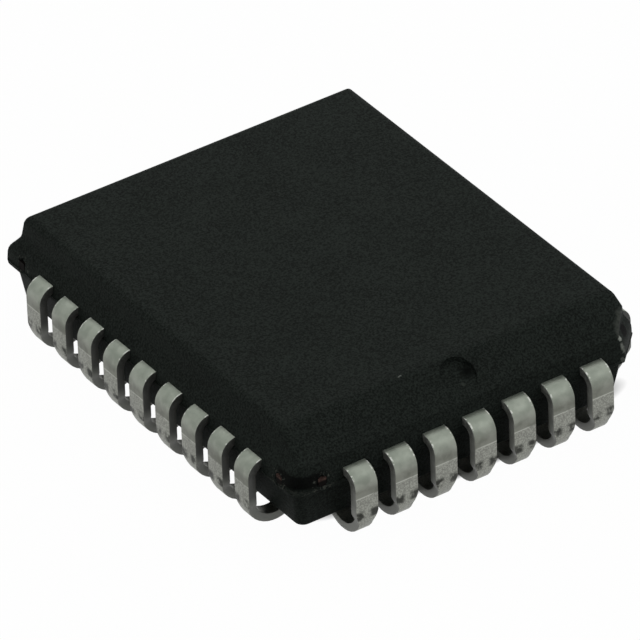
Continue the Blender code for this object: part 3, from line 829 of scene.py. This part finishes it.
tin = new_material("matt_tin_on_copper")
spots = node(tin, "ShaderNodeTexCoord").outputs["Object"]
height = node(tin, "ShaderNodeSeparateXYZ", Vector=spots).outputs["Z"]
signed_across = node(tin, "ShaderNodeAttribute", {"attribute_name": "across"}).outputs["Fac"]
across = node(tin, "ShaderNodeMath", {"operation": "ABSOLUTE"}, _0=signed_across)
sheared_and_lit = node(tin, "ShaderNodeAttribute", {"attribute_name": "sheared_and_lit"}).outputs["Fac"]
clouds = node(tin, "ShaderNodeTexNoise", Vector=spots, Scale=1 / CLOUDING_SIZE, Detail=4.0)
blotches = node(tin, "ShaderNodeTexNoise", Vector=spots, Scale=1 / BLOTCH_SIZE, Detail=3.0)
smears = node(tin, "ShaderNodeTexNoise", Vector=spots, Scale=1 / SMEAR_SIZE, Detail=3.0)
specks = node(tin, "ShaderNodeTexNoise", Vector=spots, Scale=1 / SPECK_SIZE, Detail=2.0)

# The leg: clouded tin, worn below the die line
cloudy = node(tin, "ShaderNodeMapRange", SMOOTH, Value=clouds, From_Min=0.35, From_Max=0.65)
leg = lay_over(tin, linear("#6C6E66"), linear("#7F8179"), cloudy)
specked = node(tin, "ShaderNodeMapRange", SMOOTH, Value=specks, From_Min=0.36, From_Max=0.66)
worn = lay_over(tin, linear("#7C7D77"), linear("#999B93"), specked)
is_worn = node(tin, "ShaderNodeMapRange", SMOOTH, Value=height, From_Min=WORN_FROM, From_Max=WORN_FULL)
leg = lay_over(tin, leg, worn, is_worn)

# The die line, which is broken here and there
over_line = node(tin, "ShaderNodeMath", {"operation": "SUBTRACT"}, _0=height, _1=DIE_LINE)
from_line = node(tin, "ShaderNodeMath", {"operation": "ABSOLUTE"}, _0=over_line)
on_line = node(tin, "ShaderNodeMapRange", SMOOTH, Value=from_line, From_Min=DIE_LINE_WIDTH, From_Max=0)
unbroken = node(tin, "ShaderNodeMapRange", SMOOTH, Value=clouds, From_Min=0.40, From_Max=0.55)
leg = lay_over(tin, leg, linear("#B4B6AE"), on_line, unbroken, 0.8)

# The smudges beside the middle of the foot
over_low = node(
    tin,
    "ShaderNodeMapRange",
    SMOOTH,
    Value=height,
    From_Min=SMUDGE_LOW,
    From_Max=SMUDGE_LOW + SMUDGE_LOW_FADE,
)
under_high = node(
    tin,
    "ShaderNodeMapRange",
    SMOOTH,
    Value=height,
    From_Min=SMUDGE_HIGH,
    From_Max=SMUDGE_HIGH - SMUDGE_HIGH_FADE,
)
in_band = node(tin, "ShaderNodeMath", TIMES, _0=over_low, _1=under_high)
off_middle = node(tin, "ShaderNodeMapRange", SMOOTH, Value=across, From_Min=0.02, From_Max=0.17)
smeared = node(tin, "ShaderNodeMapRange", SMOOTH, Value=smears, From_Min=0.32, From_Max=0.55)
leg = lay_over(tin, leg, linear("#262724"), in_band, off_middle, smeared, 0.9)

# The shoulder, painted paler as light falling on it, with a painted glint off the burr at the edges where it
# leaves the block
shoulder = lay_over(tin, linear("#A7AEA3"), linear("#B8BEB3"), cloudy)
# A painted glint off the stamping burr at the edges where the lead leaves the block
at_exit = node(tin, "ShaderNodeMapRange", SMOOTH, Value=height, From_Min=EXIT_LOW, From_Max=EXIT_HIGH)
at_edge = node(tin, "ShaderNodeMapRange", SMOOTH, Value=across, From_Min=0.28, From_Max=0.32)
burr_glint = node(tin, "ShaderNodeMapRange", SMOOTH, Value=blotches, From_Min=0.50, From_Max=0.58)
shoulder = lay_over(tin, shoulder, linear("#F2F4EE"), at_exit, at_edge, burr_glint)
# Painted light: the shoulder's tin is painted paler up the lead, where it turns up to the light
up_lead = node(
    tin, "ShaderNodeMapRange", SMOOTH, Value=height, From_Min=SHOULDER_LIGHT_LOW, From_Max=SHOULDER_LIGHT_HIGH
)
metal = lay_over(tin, leg, shoulder, up_lead)

# The sides cut by the punch, dull, with painted light on the hooks and end rows and painted shade higher up
over_hook = node(
    tin, "ShaderNodeMapRange", SMOOTH, Value=height, From_Min=HOOK_SHADE_LOW, From_Max=HOOK_SHADE_HIGH
)
# Painted light and shade on the long rows' sides: pale on the hook, darker above it
long_row_side_light_and_shade = lay_over(tin, linear("#969792"), linear("#454643"), over_hook)
# Painted light: the end rows' sides, which face east and west, are paler
side_light_and_shade = lay_over(tin, long_row_side_light_and_shade, linear("#A3A49F"), sheared_and_lit)
up_leg = node(
    tin,
    "ShaderNodeMapRange",
    SMOOTH,
    Value=height,
    From_Min=LEG_SHADE_LOW,
    From_Max=LEG_SHADE_HIGH,
    To_Max=LEG_SHADE,
)
up_shoulder = node(
    tin,
    "ShaderNodeMapRange",
    SMOOTH,
    Value=height,
    From_Min=SHOULDER_SHADE_LOW,
    From_Max=SHOULDER_SHADE_HIGH,
    To_Max=SHOULDER_SHADE,
)
shade = node(tin, "ShaderNodeMath", {"operation": "ADD"}, _0=up_leg, _1=up_shoulder)
uneven = node(tin, "ShaderNodeMapRange", SMOOTH, Value=blotches, From_Min=0.3, From_Max=0.6, To_Min=0.6)
# Painted shade, darker up the leg and the shoulder between the leads
side_light_and_shade = lay_over(tin, side_light_and_shade, linear("#20211F"), shade, uneven)
is_cut = node(tin, "ShaderNodeMapRange", SMOOTH, Value=sheared_and_lit, From_Min=0, From_Max=0.1)
metal = lay_over(tin, metal, side_light_and_shade, is_cut)
is_plated = node(tin, "ShaderNodeMath", {"operation": "SUBTRACT"}, _0=1, _1=is_cut)
bump = node(tin, "ShaderNodeBump", Strength=0.4, Distance=SPECK_DEPTH, Height=specks)
skin = node(
    tin, "ShaderNodeBsdfPrincipled", Base_Color=metal, Metallic=is_plated, Roughness=0.5, Normal=bump
)
node(tin, "ShaderNodeOutputMaterial", Surface=skin)

end_row_lead = form_lead(END_ROW_WIDTH)
mark_faces(end_row_lead, END_ROW_SIDE_LIGHT)
long_row_lead = form_lead(LONG_ROW_WIDTH)
mark_faces(long_row_lead, LONG_ROW_SIDE_LIGHT)
for number, side_turn, reach, along in numbered_leads():
    name = f"lead_{number:02d}"
    lead = copy_of(end_row_lead if reach == NORTH_REACH else long_row_lead)
    lead.location = Matrix.Rotation(side_turn, 3, "Z") @ Vector((reach, along, 0))
    lead.rotation_euler.z = side_turn
    bpy.context.view_layer.update()
    finish_in_metres(lead, f"{name}_formed")
    finger = finger_inside(name, side_turn, reach)
    finger.select_set(True)
    lead.select_set(True)
    bpy.context.view_layer.objects.active = lead
    bpy.ops.object.join()
    lead.data.materials.clear()
    lead.data.materials.append(tin)
    bpy.ops.object.shade_smooth_by_angle(angle=radians(30))
    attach(lead, "root")
    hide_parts(name)
bpy.data.objects.remove(end_row_lead)
bpy.data.objects.remove(long_row_lead)

# What the block holds. The paddle and its tie bars are stamped from the same strip as the leads. Their cut
# ends are bare copper, dulled brown in the air, and painted near black as shade in their pockets, save for
# the upper edges of the ends by the gate. Silver-filled epoxy holds the polished silicon die.

# Sizes and heights in metres
TARNISH_SIZE = 0.00008
TARNISH_DEPTH = 0.00001
LIT_END_REACH = 0.0020
LIT_EDGE_LOW, LIT_EDGE_HIGH = 0.00202, 0.00208
SILVER_FLAKE_SIZE = 0.00003
SILICON_CLOUD_SIZE = 0.0004


def finish_packed(name, material):
    """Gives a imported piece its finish."""
    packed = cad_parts[name]
    packed.data.materials.clear()
    packed.data.materials.append(material)


def speckled(name, dark, light, size, metallic, roughness):
    """A material with an irregular grain of one size, in metres."""
    material = new_material(name)
    spots = node(material, "ShaderNodeTexCoord").outputs["Object"]
    grain = node(material, "ShaderNodeTexNoise", Vector=spots, Scale=1 / size, Detail=3.0)
    pale = node(material, "ShaderNodeMapRange", SMOOTH, Value=grain, From_Min=0.35, From_Max=0.65)
    tint = lay_over(material, linear(dark), linear(light), pale)
    bump = node(material, "ShaderNodeBump", Strength=0.3, Distance=size / 8, Height=grain)
    skin = node(
        material,
        "ShaderNodeBsdfPrincipled",
        Base_Color=tint,
        Metallic=metallic,
        Roughness=roughness,
        Normal=bump,
    )
    node(material, "ShaderNodeOutputMaterial", Surface=skin)
    return material


copper = new_material("dulled_copper")
spots = node(copper, "ShaderNodeTexCoord").outputs["Object"]
height = node(copper, "ShaderNodeSeparateXYZ", Vector=spots).outputs["Z"]
grain = node(copper, "ShaderNodeTexNoise", Vector=spots, Scale=1 / TARNISH_SIZE, Detail=3.0)
# Painted shade: only the upper edges of the tie bars' ends by the gate keep the brown, the rest is near black
by_gate = nearness(copper, spots, (BLOCK_EAST, BLOCK_NORTH, TIE_END_HEIGHT), LIT_END_REACH)
on_upper_edge = node(
    copper, "ShaderNodeMapRange", SMOOTH, Value=height, From_Min=LIT_EDGE_LOW, From_Max=LIT_EDGE_HIGH
)
pale = node(copper, "ShaderNodeMapRange", SMOOTH, Value=grain, From_Min=0.35, From_Max=0.65)
brown = lay_over(copper, linear("#3F312E"), linear("#604C46"), pale)
tint = lay_over(copper, linear("#120F0E"), brown, by_gate, on_upper_edge)
bump = node(copper, "ShaderNodeBump", Strength=0.3, Distance=TARNISH_DEPTH, Height=grain)
skin = node(
    copper,
    "ShaderNodeBsdfPrincipled",
    Base_Color=tint,
    Metallic=0.0,
    Roughness=0.7,
    Specular_IOR_Level=0.05,
    Normal=bump,
)
node(copper, "ShaderNodeOutputMaterial", Surface=skin)
silver_epoxy = speckled(
    "silver_filled_epoxy", "#8E8F90", "#B2B3B3", SILVER_FLAKE_SIZE, metallic=0.6, roughness=0.5
)
silicon = speckled(
    "polished_silicon", "#3B3E44", "#454950", SILICON_CLOUD_SIZE, metallic=0.5, roughness=0.12
)
finish_packed("die_paddle", copper)
finish_packed("die_attach", silver_epoxy)
finish_packed("silicon_die", silicon)
